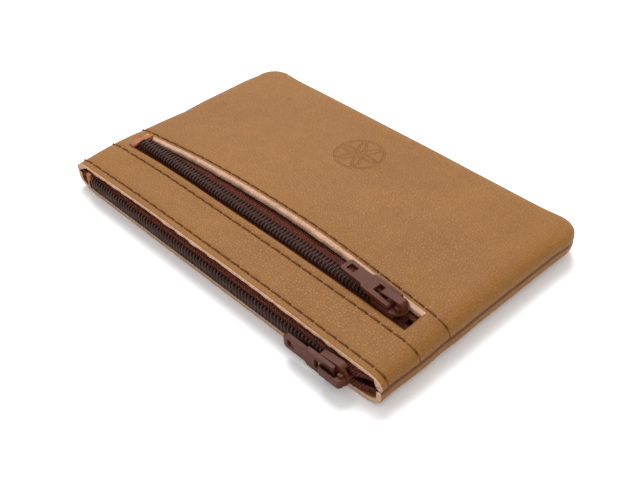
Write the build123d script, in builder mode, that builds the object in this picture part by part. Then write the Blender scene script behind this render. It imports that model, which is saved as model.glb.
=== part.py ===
"""Zippered leather pouch: a flat coin and key purse with two coil zips.

The main zip closes the long mouth at -Y. The second zip closes a slot in the front leather, and
opens the flat pocket between the front and a sewn-in divider. The two leather panels are sewn face
to face along three sides and turned, so each carries a seam allowance inside the rim.

Millimetres. X runs along the zips, +X towards their closed end. Y runs from the mouth (-Y) to the
far seam (+Y). Z is up from the flat face of the back panel, where the origin lies.
"""

import os
from math import sqrt

from build123d import *

# Leather body
LENGTH = 120.0  # seam to seam, along the zips
WIDTH = 75.0  # mouth edge to far seam
HEIGHT = 10.7  # back face to the crown of the front
LEATHER = 1.3
SEAM_Z = 5.4  # height of the turned seam round the rim
RIM_RADIUS = 5.2  # roll of the leather over the rim
CORNER_RADIUS = 9.0  # far corners, in plan
CROWN_Y = -8.0  # where the front is highest
DOME_RADIUS = 725.0  # long curve of the front from mouth to far seam
ALLOWANCE = 5.5  # seam allowance, from the rim inwards
SKIVED = 1.0  # thickness of the pared seam allowance
LINING = 0.5  # divider cloth
DIVIDER_FOOT_GAP = 0.2  # the divider rises this far inside the seam allowance
SEAM_GAP = 0.6  # between the two leathers at the rim, which the divider's edge sits in
MOUTH_Y = -WIDTH / 2
BEYOND_MOUTH = 12.5  # the forms run past the mouth before they are cut there

# Slot in the front leather
SLOT_LEFT, SLOT_RIGHT = -55.2, 53.4
SLOT_Y = -19.05
SLOT_WIDTH = 8.5

# Zip chain. Across the chain is v, out of it towards the pull is w, and w = 0 is mid-tape.
TAPE_HALF_LENGTH = 54.3
COIL_HALF_LENGTH = 53.0
TAPE = 0.4
TAPE_WIDTH = 8.9
TAPE_GAP = 1.0  # between the two tapes' inner edges
COIL_WIDTH, COIL_HEIGHT, COIL_ROUND = 1.7, 1.3, 0.55
COIL_GAP = 0.8  # between the two coils, where the slider's post runs
CORE_WIDTH, CORE_HEIGHT = 0.8, 0.4  # cord inside the coil
CORE_CLEARANCE = 0.05
MAIN_CHAIN_Y = -37.5  # mid-tape plane of the main zip, level with the leather's edges
MAIN_CHAIN_Z = 5.2
FRONT_CHAIN_Y = -19.2
FRONT_CHAIN_Z = 8.9
MAIN_TAPE_INNER_Y = -29.0  # the turned-in leg of a main tape ends here
TAIL_END = 57.4  # a main tape's ends run out to the side seams, clear of the leather
LOWER_TAIL, UPPER_TAIL = (2.45, 3.95), (6.85, 8.3)
TAPE_BEND = 0.5

# Slider, with u along the chain towards the nose and u = 0 at mid-body
SLIDER_X = {"main": 47.85, "front": 46.25}
PULL_TILT = {"main": 0.0, "front": 6.0}  # degrees that the pull rests clear of the chain
BODY_HALF_LENGTH = 4.5
REAR_HALF_WIDTH, NOSE_HALF_WIDTH = 2.6, 3.1
REAR_CHANNEL, NOSE_CHANNEL = 2.2, 2.65
SHOULDER_U = 1.0
TOP_PLATE = (1.65, 2.45)
BOTTOM_PLATE = (-1.3, -0.5)
SIDE_WALL_FOOT = 0.45
POST_LENGTH, POST_WIDTH = 2.0, 0.6
POST_U = 3.2
PIN_U, PIN_LENGTH, PIN_WIDTH, PIN_TIP = -2.1, 0.5, 0.5, 1.15
PIN_HOLE_CLEARANCE = 0.12

# Bonnet, lock spring and pull
BONNET_REAR, BONNET_NOSE = -3.2, 4.0
BONNET_WIDTH, BONNET_TOP, BONNET_WALL = 2.2, 4.8, 0.5
BONNET_ROUND = 0.9
SHOULDER_REAR, SHOULDER_NOSE, SHOULDER_TOP, SHOULDER_WIDTH = 2.2, 3.5, 3.6, 3.6
SPRING_WIDTH, SPRING_BOTTOM, SPRING_SHEET = 1.2, 3.68, 0.2
SPRING_REAR, SPRING_NOSE = -2.5, 3.3
HINGE_U, HINGE_W = 0.5, 3.1
PULL_THICKNESS = 1.1
PULL_WIDE, PULL_NARROW = 5.4, 4.0
PULL_LENGTH, PULL_NARROW_LENGTH = 16.0, 7.0  # hinge to far end, and its narrow part
PULL_SLOT_LENGTH, PULL_SLOT_WIDTH = 5.6, 2.6
PULL_WINDOW_LENGTH, PULL_WINDOW_WIDTH, PULL_WINDOW_INSET = 2.4, 2.0, 1.2
TAB_LEFT, TAB_RIGHT, TAB_THICKNESS = -54.6, -53.1, 0.8  # leather stops at the closed ends
CROSSBAR_RADIUS = 0.5

# Stitching
STITCH_LENGTH, STITCH_WIDTH, STITCH_HEIGHT = 3.0, 0.7, 0.4
STITCH_PITCH = 3.8
GROOVE_WIDTH, GROOVE_DEPTH = 0.9, 0.3
EDGE_MARGIN = 2.3  # stitch row from a cut edge
SEAM_STITCH_INSET = 3.0  # seam stitches from the rim

TALL = 40.0  # cutting bodies reach past everything


def front_height(y):
    """Height of the front leather's outer face above the back face, at mid-length."""
    return HEIGHT - DOME_RADIUS + sqrt(DOME_RADIUS**2 - (y - CROWN_Y) ** 2)


def outline(inset):
    """Plan of the pouch drawn in by inset, carried past the mouth."""
    with BuildSketch() as plan:
        with Locations((0, -BEYOND_MOUTH / 2)):
            Rectangle(LENGTH, WIDTH + BEYOND_MOUTH)
        fillet(plan.vertices().group_by(Axis.Y)[-1], CORNER_RADIUS)
        if inset:
            offset(amount=-inset)
    return plan.sketch


def pillow(inset):
    """The pouch as a closed cushion, drawn in by inset on every side."""
    far = WIDTH / 2 + BEYOND_MOUTH
    with BuildPart() as form:
        with BuildSketch(Plane.XY.offset(inset)):
            add(outline(inset))
        extrude(amount=HEIGHT - 2 * inset)
        fillet(form.edges().group_by(Axis.Z)[0] + form.edges().group_by(Axis.Z)[-1], RIM_RADIUS - inset)
        with BuildSketch(Plane.YZ):
            with BuildLine():
                dome = ThreePointArc(
                    *[(y, front_height(y) - inset) for y in (-far, CROWN_Y, far)]
                )
                Polyline(dome @ 1, (far, -1), (-far, -1), dome @ 0)
            make_face()
        extrude(amount=LENGTH, both=True, mode=Mode.INTERSECT)
    return form.part


def rim_ring(level, thickness, outer_inset, inner_inset=ALLOWANCE):
    """Flat ring inside the rim: a seam allowance, or the divider's edge."""
    with BuildPart() as ring:
        with BuildSketch(Plane.XY.offset(level)):
            add(outline(outer_inset))
            add(outline(inner_inset), mode=Mode.SUBTRACT)
        extrude(amount=thickness)
    return ring.part


def behind_mouth():
    """Everything on the +Y side of the mouth edge."""
    with BuildPart() as keep:
        with BuildSketch(Plane.XY.offset(-TALL)):
            with Locations((0, MOUTH_Y + TALL * 2)):
                Rectangle(LENGTH * 2, TALL * 4)
        extrude(amount=TALL * 2)
    return keep.part


def stitch_count(length):
    """How many whole stitches fit along a row."""
    return int((length - STITCH_LENGTH) / STITCH_PITCH) + 1


def stitch_row(label, level, y, length=2 * TAPE_HALF_LENGTH):
    """A row of stitches along X, one solid for each stitch."""
    with BuildPart() as row:
        with BuildSketch(Plane.XY.offset(level)):
            with Locations((0, y)):
                with GridLocations(STITCH_PITCH, 1, stitch_count(length), 1):
                    SlotOverall(STITCH_LENGTH, STITCH_WIDTH)
        extrude(amount=STITCH_HEIGHT)
    return finish(row, label)


def finish(builder, label):
    """Labels a finished piece and writes its STEP file."""
    builder.part.label = label
    export_step(builder.part, f"parts/{label}.step")
    return builder.part


def groove(level, y):
    """Channel that a stitch row is pulled down into."""
    with BuildPart() as cut:
        with BuildSketch(Plane.XY.offset(level)):
            with Locations((0, y)):
                Rectangle(2 * TAPE_HALF_LENGTH, GROOVE_WIDTH)
        extrude(amount=LEATHER)
    return cut.part


STRIP_OUTER_ROW = MOUTH_Y + EDGE_MARGIN
STRIP_INNER_ROW = SLOT_Y - SLOT_WIDTH / 2 - EDGE_MARGIN
PANEL_ROW = SLOT_Y + SLOT_WIDTH / 2 + EDGE_MARGIN
TOP_ROWS = {
    "strip_mouth_stitches": STRIP_OUTER_ROW,
    "strip_slot_stitches": STRIP_INNER_ROW,
    "front_panel_slot_stitches": PANEL_ROW,
}
FRONT_SEAM = SEAM_Z + SEAM_GAP / 2
BACK_SEAM = SEAM_Z - SEAM_GAP / 2


def front_panel():
    """Front leather: domed shell above the seam, with the pocket slot and its seam allowance."""
    with BuildPart() as panel:
        add(pillow(0))
        add(pillow(LEATHER), mode=Mode.SUBTRACT)
        split(bisect_by=Plane.XY.offset(FRONT_SEAM), keep=Keep.TOP)
        add(rim_ring(FRONT_SEAM, SKIVED, LEATHER / 2))
        add(behind_mouth(), mode=Mode.INTERSECT)
        with BuildSketch(Plane.XY.offset(SEAM_Z + LEATHER)):
            with Locations(((SLOT_LEFT + SLOT_RIGHT) / 2, SLOT_Y)):
                Rectangle(SLOT_RIGHT - SLOT_LEFT, SLOT_WIDTH)
        extrude(amount=HEIGHT, mode=Mode.SUBTRACT)
        for y in TOP_ROWS.values():
            add(groove(front_height(y) - GROOVE_DEPTH, y), mode=Mode.SUBTRACT)
    finish(panel, "front_panel")


def back_panel():
    """Back leather: flat-bottomed dish below the seam, with its seam allowance."""
    with BuildPart() as panel:
        add(pillow(0))
        add(pillow(LEATHER), mode=Mode.SUBTRACT)
        split(bisect_by=Plane.XY.offset(BACK_SEAM), keep=Keep.BOTTOM)
        add(rim_ring(BACK_SEAM - SKIVED, SKIVED, LEATHER / 2))
        add(behind_mouth(), mode=Mode.INTERSECT)
        add(groove(STITCH_HEIGHT + 0.1 - LEATHER, STRIP_OUTER_ROW), mode=Mode.SUBTRACT)
    finish(panel, "back_panel")


def divider_form(drop):
    """Space under the divider's upper face, lowered by drop."""
    base = SEAM_Z - LINING / 2
    low, flat = SEAM_Z + LINING / 2, 7.2
    high = front_height(MOUTH_Y) - LEATHER - TAPE - 0.15
    flat_half, foot_half = 47.0, LENGTH / 2 - ALLOWANCE - DIVIDER_FOOT_GAP
    mouth, front_foot, flat_end, foot_y = -35.5, -29.0, 6.0, WIDTH / 2 - ALLOWANCE - DIVIDER_FOOT_GAP
    with BuildPart() as form:
        with BuildSketch(Plane.YZ):
            with BuildLine():
                Polyline(
                    (mouth, base),
                    (mouth, high - drop),
                    (mouth + 3, high - drop),
                    (front_foot, flat - drop),
                    (flat_end, flat - drop),
                    (foot_y, low - drop),
                    (foot_y, base),
                    close=True,
                )
            make_face()
        extrude(amount=LENGTH / 2, both=True)
        with BuildSketch(Plane.XZ):
            with BuildLine():
                Polyline(
                    (-foot_half, base),
                    (-foot_half, low - drop),
                    (-flat_half, high - drop),
                    (flat_half, high - drop),
                    (foot_half, low - drop),
                    (foot_half, base),
                    close=True,
                )
            make_face()
        extrude(amount=WIDTH, both=True, mode=Mode.INTERSECT)
        with BuildSketch():
            add(outline(ALLOWANCE + DIVIDER_FOOT_GAP))
        extrude(amount=HEIGHT, mode=Mode.INTERSECT)
    return form.part


def divider():
    """Cloth wall between the front pocket and the main pocket."""
    thin = 0.01  # keeps the lowered form's foot from closing to nothing
    with BuildPart() as cloth:
        add(divider_form(0))
        add(divider_form(LINING - thin), mode=Mode.SUBTRACT)
        add(rim_ring(SEAM_Z - LINING / 2, LINING, LEATHER + 0.2, ALLOWANCE + 1))
        add(behind_mouth(), mode=Mode.INTERSECT)
    finish(cloth, "divider")


def chain_plane(zip_name, x=0.0):
    """Plane of a zip at x: local x is u along the chain, local y is v across it, and z is w."""
    if zip_name == "main":
        return Plane(origin=(x, MAIN_CHAIN_Y, MAIN_CHAIN_Z), x_dir=(1, 0, 0), z_dir=(0, -1, 0))
    return Plane(origin=(x, FRONT_CHAIN_Y, FRONT_CHAIN_Z), x_dir=(1, 0, 0), z_dir=(0, 0, 1))


def section_plane(plane):
    """The same place seen from the side: local x is u and local y is w."""
    return Plane(origin=plane.origin, x_dir=plane.x_dir, z_dir=-plane.y_dir)


def end_plane(plane):
    """The same place seen along the chain: local x is v and local y is w."""
    return Plane(origin=plane.origin, x_dir=plane.y_dir, z_dir=plane.x_dir)


def front_tape(label, side):
    """Flat tape of the pocket zip, on the +v or -v side of the chain."""
    with BuildPart() as tape:
        with BuildSketch(chain_plane("front").offset(-TAPE / 2)):
            with Locations((0, side * (TAPE_GAP + TAPE_WIDTH) / 2)):
                Rectangle(2 * TAPE_HALF_LENGTH, TAPE_WIDTH)
        extrude(amount=TAPE)
    finish(tape, label)


def main_tape(label, side):
    """Tape of the mouth zip: it hangs beside the coil and turns in along the leather."""
    half_gap = MAIN_CHAIN_Z - LEATHER - 0.08 - TAPE / 2
    if side > 0:
        half_gap = front_height(MOUTH_Y) - LEATHER - 0.08 - TAPE / 2 - MAIN_CHAIN_Z
    with BuildPart() as tape:
        with BuildSketch(Plane.YZ.offset(-TAPE_HALF_LENGTH)):
            with BuildLine():
                FilletPolyline(
                    (MAIN_TAPE_INNER_Y, MAIN_CHAIN_Z + side * half_gap),
                    (MAIN_CHAIN_Y, MAIN_CHAIN_Z + side * half_gap),
                    (MAIN_CHAIN_Y, MAIN_CHAIN_Z + side * TAPE_GAP / 2),
                    radius=TAPE_BEND + TAPE / 2,
                )
            trace(line_width=TAPE)
        extrude(amount=2 * TAPE_HALF_LENGTH)
        low, high = UPPER_TAIL if side > 0 else LOWER_TAIL
        inner = TAPE_HALF_LENGTH - 0.5
        with BuildSketch(Plane.XZ.offset(-MAIN_CHAIN_Y - TAPE / 2)):
            for end in (1, -1):
                with Locations((end * (inner + TAIL_END) / 2, (low + high) / 2)):
                    Rectangle(TAIL_END - inner, high - low)
        extrude(amount=TAPE)
    finish(tape, label)


def coil_section(side, width, height, rounding):
    """Rounded section standing on the tape, on one side of the chain's middle."""
    middle = side * (COIL_GAP + COIL_WIDTH) / 2
    with Locations((middle, (TAPE + COIL_HEIGHT) / 2)):
        RectangleRounded(width, height, rounding)


def coil(zip_name, label, side):
    """One half of the zip: a hollow run of nylon coil, its teeth left to the surface finish."""
    bore = (CORE_WIDTH + 2 * CORE_CLEARANCE, CORE_HEIGHT + 2 * CORE_CLEARANCE)
    with BuildPart() as run:
        with BuildSketch(end_plane(chain_plane(zip_name)).offset(-COIL_HALF_LENGTH)):
            coil_section(side, COIL_WIDTH, COIL_HEIGHT, COIL_ROUND)
            with Locations((side * (COIL_GAP + COIL_WIDTH) / 2, (TAPE + COIL_HEIGHT) / 2)):
                RectangleRounded(*bore, bore[1] / 2 - 0.01, mode=Mode.SUBTRACT)
        extrude(amount=2 * COIL_HALF_LENGTH)
    finish(run, label)


def coil_core(zip_name, label, side):
    """Filler cord that the coil is wound round."""
    with BuildPart() as cord:
        with BuildSketch(end_plane(chain_plane(zip_name)).offset(-COIL_HALF_LENGTH)):
            coil_section(side, CORE_WIDTH, CORE_HEIGHT, CORE_HEIGHT / 2 - 0.01)
        extrude(amount=2 * COIL_HALF_LENGTH)
    finish(cord, label)


def body_outline():
    """Plan of the slider's plates: narrow rear, broad shoulders and a round nose."""
    nose = BODY_HALF_LENGTH
    with BuildSketch() as plan:
        with BuildLine():
            Polyline((-nose, 0), (-nose, REAR_HALF_WIDTH), (SHOULDER_U, NOSE_HALF_WIDTH))
            ThreePointArc(
                (SHOULDER_U, NOSE_HALF_WIDTH), (nose - 0.9, NOSE_HALF_WIDTH * 0.66), (nose, 0)
            )
            Line((nose, 0), (-nose, 0))
        make_face()
        mirror(about=Plane.XZ)
    return plan.sketch


def slider_body(zip_name, plane):
    """Die-cast slider: two plates on a post, with side walls that guide the coils."""
    rear = -BODY_HALF_LENGTH - 0.5
    with BuildPart() as body:
        with BuildSketch(plane.offset(SIDE_WALL_FOOT)):
            add(body_outline())
        extrude(amount=TOP_PLATE[1] - SIDE_WALL_FOOT)
        with BuildSketch(plane.offset(SIDE_WALL_FOOT)):
            with BuildLine():
                Polyline(
                    (rear, 0),
                    (rear, REAR_CHANNEL),
                    (-BODY_HALF_LENGTH, REAR_CHANNEL),
                    (SHOULDER_U, NOSE_CHANNEL),
                    (-rear, NOSE_CHANNEL),
                    (-rear, 0),
                    close=True,
                )
            make_face()
            mirror(about=Plane.XZ)
        extrude(amount=TOP_PLATE[0] - SIDE_WALL_FOOT, mode=Mode.SUBTRACT)
        with BuildSketch(plane.offset(BOTTOM_PLATE[0])):
            add(body_outline())
        extrude(amount=BOTTOM_PLATE[1] - BOTTOM_PLATE[0])
        with BuildSketch(plane.offset(BOTTOM_PLATE[1])):
            with Locations((POST_U, 0)):
                SlotOverall(POST_LENGTH, POST_WIDTH)
        extrude(amount=TOP_PLATE[0] - BOTTOM_PLATE[1])
        with BuildSketch(plane.offset(TOP_PLATE[0])):
            with Locations((PIN_U, 0)):
                Rectangle(PIN_LENGTH + 2 * PIN_HOLE_CLEARANCE, PIN_WIDTH + 2 * PIN_HOLE_CLEARANCE)
        extrude(amount=TOP_PLATE[1] - TOP_PLATE[0], mode=Mode.SUBTRACT)
    finish(body, f"{zip_name}_slider_body")


def slider_bonnet(zip_name, plane):
    """Arched cap over the top plate, which keeps the lock spring and the pull's crossbar."""
    length = BONNET_NOSE - BONNET_REAR
    middle = (BONNET_NOSE + BONNET_REAR) / 2
    foot = TOP_PLATE[1]
    with BuildPart() as bonnet:
        with BuildSketch(section_plane(plane)) as arch:
            with Locations((middle, (foot + BONNET_TOP) / 2)):
                Rectangle(length, BONNET_TOP - foot)
            fillet(arch.vertices().group_by(Axis.Y)[-1], BONNET_ROUND)
            with Locations((middle, (foot + BONNET_TOP - BONNET_WALL) / 2)):
                Rectangle(length - 2 * BONNET_WALL, BONNET_TOP - BONNET_WALL - foot, mode=Mode.SUBTRACT)
        extrude(amount=BONNET_WIDTH / 2, both=True)
        for side in (1, -1):
            with BuildSketch(plane.offset(foot)):
                with Locations(((SHOULDER_REAR + SHOULDER_NOSE) / 2, side * (SHOULDER_WIDTH / 4 + 0.4))):
                    Rectangle(SHOULDER_NOSE - SHOULDER_REAR, SHOULDER_WIDTH / 2 - 0.8)
            extrude(amount=SHOULDER_TOP - foot)
            with BuildSketch(plane.offset(foot)):
                with Locations(((SHOULDER_REAR + SHOULDER_NOSE) / 2, side * 0.95)):
                    Rectangle(SHOULDER_NOSE - SHOULDER_REAR, 0.3)
            extrude(amount=BONNET_TOP - BONNET_WALL - foot + 0.1)
    finish(bonnet, f"{zip_name}_slider_bonnet")


def lock_spring(zip_name, plane):
    """Leaf under the bonnet, with the pin that drops between the coils and holds the slider."""
    top = SPRING_BOTTOM + SPRING_SHEET
    foot = TOP_PLATE[1] + 0.05
    with BuildPart() as spring:
        with BuildSketch(section_plane(plane)):
            with BuildLine():
                Polyline(
                    (SPRING_REAR, top),
                    (SPRING_NOSE, top),
                    (SPRING_NOSE, foot),
                    (SPRING_NOSE - 0.3, foot),
                    (SPRING_NOSE - 0.3, SPRING_BOTTOM),
                    (SPRING_REAR, SPRING_BOTTOM),
                    close=True,
                )
            make_face()
        extrude(amount=SPRING_WIDTH / 2, both=True)
        with BuildSketch(plane.offset(PIN_TIP)):
            with Locations((PIN_U, 0)):
                Rectangle(PIN_LENGTH, PIN_WIDTH)
        extrude(amount=SPRING_BOTTOM - PIN_TIP)
    finish(spring, f"{zip_name}_lock_spring")


def pull_tab(zip_name, plane):
    """Pull with a slot that clears the bonnet, a window at the far end and a round crossbar."""
    half = PULL_THICKNESS / 2
    shoulder = 0.8  # length of the slope where the tab widens
    step = PULL_NARROW_LENGTH - PULL_LENGTH
    hinge = Plane(
        origin=plane.from_local_coords((HINGE_U, 0, HINGE_W)), x_dir=plane.x_dir, z_dir=plane.z_dir
    ).rotated((0, PULL_TILT[zip_name], 0))
    with BuildPart() as pull:
        with BuildSketch(hinge.offset(-half)) as plan:
            with BuildLine():
                Polyline(
                    (-PULL_LENGTH, 0),
                    (-PULL_LENGTH, PULL_NARROW / 2),
                    (step, PULL_NARROW / 2),
                    (step + shoulder, PULL_WIDE / 2),
                    (half, PULL_WIDE / 2),
                    (half, 0),
                    close=True,
                )
            make_face()
            mirror(about=Plane.XZ)
            fillet(plan.vertices().group_by(Axis.X)[0], 0.9)
            with Locations(((half - PULL_SLOT_LENGTH) / 2 + 0.01, 0)):
                Rectangle(PULL_SLOT_LENGTH + half + 0.02, PULL_SLOT_WIDTH, mode=Mode.SUBTRACT)
            with Locations((PULL_WINDOW_INSET + PULL_WINDOW_LENGTH / 2 - PULL_LENGTH, 0)):
                RectangleRounded(PULL_WINDOW_LENGTH, PULL_WINDOW_WIDTH, 0.3, mode=Mode.SUBTRACT)
        extrude(amount=PULL_THICKNESS)
        leg_ends = pull.faces().sort_by(Axis(hinge.origin, hinge.x_dir))[-2:]
        fillet(leg_ends.edges().filter_by(Axis(hinge.origin, hinge.y_dir)), half - 0.05)
        with BuildSketch(section_plane(hinge)):
            Circle(CROSSBAR_RADIUS)
        extrude(amount=PULL_SLOT_WIDTH / 2 + 0.3, both=True)
    finish(pull, f"{zip_name}_pull_tab")


def end_tab(zip_name, half_width):
    """Scrap of leather sewn across the left end of a zip, which stops the slider."""
    with BuildPart() as tab:
        with BuildSketch(chain_plane(zip_name).offset(TAPE / 2 + 0.05)):
            with Locations(((TAB_LEFT + TAB_RIGHT) / 2, 0)):
                Rectangle(TAB_RIGHT - TAB_LEFT, 2 * half_width)
        extrude(amount=TAB_THICKNESS)
    finish(tab, f"{zip_name}_zip_end_tab")


def slider(zip_name):
    """The four pieces of one self-locking slider, at the closed end of its zip."""
    plane = chain_plane(zip_name, SLIDER_X[zip_name])
    slider_body(zip_name, plane)
    slider_bonnet(zip_name, plane)
    lock_spring(zip_name, plane)
    pull_tab(zip_name, plane)


def side_seam(label, x):
    """Seam stitches along a short side, on the front leather's allowance."""
    length = WIDTH - 2 * CORNER_RADIUS
    with BuildPart() as row:
        with BuildSketch(Plane.XY.offset(FRONT_SEAM + SKIVED)):
            with Locations((x, 0)):
                with GridLocations(1, STITCH_PITCH, 1, stitch_count(length)):
                    SlotOverall(STITCH_LENGTH, STITCH_WIDTH, rotation=90)
        extrude(amount=STITCH_HEIGHT)
    finish(row, label)


def main():
    """Builds every piece and writes it to parts/."""
    os.makedirs("parts", exist_ok=True)
    front_panel()
    back_panel()
    divider()
    front_tape("front_zip_tape_panel_side", 1)
    front_tape("front_zip_tape_strip_side", -1)
    main_tape("main_zip_tape_upper", 1)
    main_tape("main_zip_tape_lower", -1)
    for zip_name, upper, lower in (
        ("main", "upper", "lower"),
        ("front", "panel_side", "strip_side"),
    ):
        for side, name in ((1, upper), (-1, lower)):
            coil(zip_name, f"{zip_name}_zip_coil_{name}", side)
            coil_core(zip_name, f"{zip_name}_zip_core_{name}", side)
        slider(zip_name)
    end_tab("main", 2.4)
    end_tab("front", 3.6)
    for label, y in TOP_ROWS.items():
        stitch_row(label, front_height(y) - GROOVE_DEPTH, y)
    stitch_row("back_mouth_stitches", 0.1, STRIP_OUTER_ROW)
    seam_x = LENGTH / 2 - SEAM_STITCH_INSET
    side_seam("left_seam_stitches", -seam_x)
    side_seam("right_seam_stitches", seam_x)
    stitch_row(
        "far_seam_stitches",
        FRONT_SEAM + SKIVED,
        WIDTH / 2 - SEAM_STITCH_INSET,
        LENGTH - 2 * CORNER_RADIUS,
    )


main()
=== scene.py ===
"""Looks for a zippered leather pouch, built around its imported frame.

Lengths are metres, X runs along the zips, the mouth faces -Y and Z is up out of the front leather.
"""

import logging
import math
from dataclasses import dataclass, field
from enum import Enum
from typing import Any, Callable, Sequence

import bmesh
import bpy
from mathutils import Matrix, Vector, noise


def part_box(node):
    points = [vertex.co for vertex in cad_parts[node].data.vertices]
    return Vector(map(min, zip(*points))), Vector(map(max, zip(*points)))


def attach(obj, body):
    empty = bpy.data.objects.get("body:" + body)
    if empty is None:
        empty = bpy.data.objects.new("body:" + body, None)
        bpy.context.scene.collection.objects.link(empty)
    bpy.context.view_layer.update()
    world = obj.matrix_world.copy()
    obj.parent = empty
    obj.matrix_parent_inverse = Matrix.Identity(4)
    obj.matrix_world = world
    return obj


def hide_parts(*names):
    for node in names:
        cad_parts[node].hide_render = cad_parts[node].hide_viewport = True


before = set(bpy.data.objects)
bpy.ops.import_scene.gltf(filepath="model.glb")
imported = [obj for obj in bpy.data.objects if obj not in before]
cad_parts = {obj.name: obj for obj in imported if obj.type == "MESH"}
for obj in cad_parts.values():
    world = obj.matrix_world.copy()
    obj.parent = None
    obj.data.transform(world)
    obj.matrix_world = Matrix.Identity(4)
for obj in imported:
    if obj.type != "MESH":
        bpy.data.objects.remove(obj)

LOG = logging.getLogger("pouch")
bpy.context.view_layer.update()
MM = 0.001
TO_MM = (1000.0, 1000.0, 1000.0)
SHEET_SMOOTH = 60.0
ROUND_SMOOTH = 80.0
NOISE_SEED = 1  # noise_vector's offsets follow the clock unless a seed is set
STITCH_PITCH = 3.8 * MM
ROSETTE_AT = (-2.0 * MM, 18.7 * MM)
SENSOR_WIDTH = 36.0
PICTURE_WIDTH = 640
Number = float | int
Colour = tuple[float, float, float, float]
Place = Callable[[float, float], Vector]


# ---------------------------------------------------------------- shader graph


def operation(kind: str, swap: bool = False) -> Callable[..., "Wire"]:
    """Makes a method of Wire that adds a Math node, its terms swapped if asked."""

    def method(self: "Wire", *others: Any) -> "Wire":
        """Adds the node."""
        terms = (*others, self) if swap else (self, *others)
        return self.graph.node("ShaderNodeMath", {"operation": kind}, dict(enumerate(terms)))

    return method


class Wire:
    """One output of a shader node, with arithmetic that adds Math nodes."""

    __add__ = __radd__ = operation("ADD")
    __sub__ = operation("SUBTRACT")
    __rsub__ = operation("SUBTRACT", swap=True)
    __mul__ = __rmul__ = operation("MULTIPLY")
    __pow__ = operation("POWER")
    __mod__ = operation("FLOORED_MODULO")
    __abs__ = operation("ABSOLUTE")
    least = operation("MINIMUM")
    most = operation("MAXIMUM")
    sine = operation("SINE")
    cosine = operation("COSINE")

    def __init__(self, graph: "Graph", socket: bpy.types.NodeSocket) -> None:
        """Keeps the graph and the socket together."""
        self.graph = graph
        self.socket = socket

    def fade(self, low: Number, high: Number, start: Number = 0.0, end: Number = 1.0) -> "Wire":
        """Smooth ramp from start to end as the value goes from low to high.

        Args:
            low: value where the ramp starts.
            high: value where it ends.
            start: result at and before low.
            end: result at and after high.

        Returns:
            The ramped value.
        """
        values = {0: self, 1: low, 2: high, 3: start, 4: end}
        return self.graph.node("ShaderNodeMapRange", {"interpolation_type": "SMOOTHSTEP"}, values)


class Graph:
    """A material's nodes, made through one method."""

    def __init__(self, name: str) -> None:
        """Starts a material with a Principled shader."""
        self.material = bpy.data.materials.new(name)
        self.material.use_nodes = True
        self.tree = self.material.node_tree
        self.shader = self.tree.nodes["Principled BSDF"]

    def node(
        self, kind: str, settings: dict[str, Any], inputs: dict[Any, Any], output: Any = 0
    ) -> Wire:
        """Adds a node.

        Args:
            kind: the node's type name.
            settings: its properties.
            inputs: values or wires by socket name or number.
            output: name or number of the output wanted.

        Returns:
            The output as a wire.
        """
        made = self.tree.nodes.new(kind)
        for name, value in settings.items():
            setattr(made, name, value)
        for key, value in inputs.items():
            self.join(value, made.inputs[key])
        return Wire(self, made.outputs[output])

    def join(self, value: Any, socket: bpy.types.NodeSocket) -> None:
        """Links a wire to a socket, or sets its value."""
        if isinstance(value, Wire):
            self.tree.links.new(value.socket, socket)
        else:
            socket.default_value = value

    def set(self, **values: Any) -> None:
        """Sets or links the shader's sockets, with _ for a space in their names."""
        for name, value in values.items():
            self.join(value, self.shader.inputs[name.replace("_", " ")])

    def mix(self, factor: Any, first: Any, second: Any) -> Wire:
        """Mixes two colours, the first where factor is 0 and the second where it is 1."""
        values = {0: factor, 6: first, 7: second}
        return self.node("ShaderNodeMix", {"data_type": "RGBA"}, values, 2)

    def place(self, scale: Sequence[float] = TO_MM) -> Wire:
        """Object coordinates in millimetres, or scaled otherwise."""
        point = self.node("ShaderNodeTexCoord", {}, {}, "Object")
        return self.node("ShaderNodeMapping", {}, {"Vector": point, "Scale": scale})

    def flat(self) -> Wire:
        """The piece's own UV map, which holds its flat lengths in metres, in millimetres."""
        point = self.node("ShaderNodeUVMap", {"uv_map": "flat"}, {})
        return self.node("ShaderNodeMapping", {}, {"Vector": point, "Scale": TO_MM})

    def axes(self, vector: Wire) -> tuple[Wire, Wire, Wire]:
        """The three numbers of a vector."""
        split = self.node("ShaderNodeSeparateXYZ", {}, {0: vector})
        outputs = split.socket.node.outputs
        return Wire(self, outputs[0]), Wire(self, outputs[1]), Wire(self, outputs[2])

    def noise(
        self, vector: Wire, scale: Number, detail: Number = 3.0, rough: Number = 0.55
    ) -> Wire:
        """Fractal noise from 0 to 1."""
        values = {"Vector": vector, "Scale": scale, "Detail": detail, "Roughness": rough}
        return self.node("ShaderNodeTexNoise", {}, values, 0)

    def bump(self, height: Any, distance: Number, strength: Number = 1.0) -> None:
        """Relief of a height from 0 to 1 that stands this many metres proud."""
        values = {"Height": height, "Distance": distance, "Strength": strength}
        self.set(Normal=self.node("ShaderNodeBump", {}, values))


# ---------------------------------------------------------------- finishes


def tone(red: Number, green: Number, blue: Number) -> Colour:
    """A display colour, given from 0 to 255, as the shader's linear colour."""
    linear = [
        c / 12.92 if c <= 0.04045 else ((c + 0.055) / 1.055) ** 2.4
        for c in (red / 255, green / 255, blue / 255)
    ]
    return (*linear, 1.0)


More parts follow.
